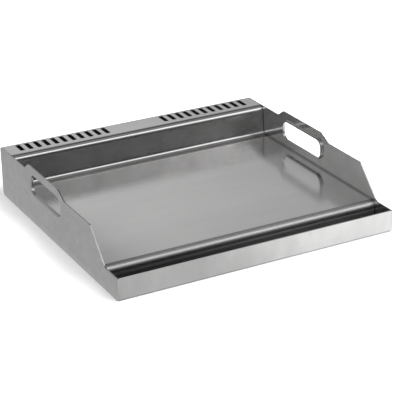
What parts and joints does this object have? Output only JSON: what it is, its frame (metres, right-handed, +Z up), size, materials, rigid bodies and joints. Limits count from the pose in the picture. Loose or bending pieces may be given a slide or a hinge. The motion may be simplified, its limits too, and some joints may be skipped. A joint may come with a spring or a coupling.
{
  "type": "camp griddle plate",
  "caption": "Flat steel griddle plate folded from one sheet, with a vented rear ledge, a front grease gutter and upright side plates with hand slots.",
  "frame": {"origin": "on the ground, under the middle of the griddle's bounding box", "axes": "+X to the right along the width, +Y to the rear, +Z up"},
  "size_m": [0.45, 0.43, 0.0935],
  "materials": {
    "pan_steel": "satin, brushed along the width",
    "plate_steel": "satin, brushed from front to rear",
    "bar_steel": "mill finish",
    "weld_steel": "as welded",
    "ground_weld_steel": "ground flush and brushed"
  },
  "bodies": {
    "root": {"folded_pan": "pan_steel", "left_side_plate": "plate_steel", "right_side_plate": "plate_steel", "rear_stiffener": "bar_steel", "middle_stiffener": "bar_steel", "front_stiffener": "bar_steel", "left_seam_welds": "weld_steel", "right_seam_welds": "weld_steel", "stiffener_welds": "weld_steel", "left_corner_welds": "ground_weld_steel", "right_corner_welds": "ground_weld_steel"}
  },
  "joints": []
}
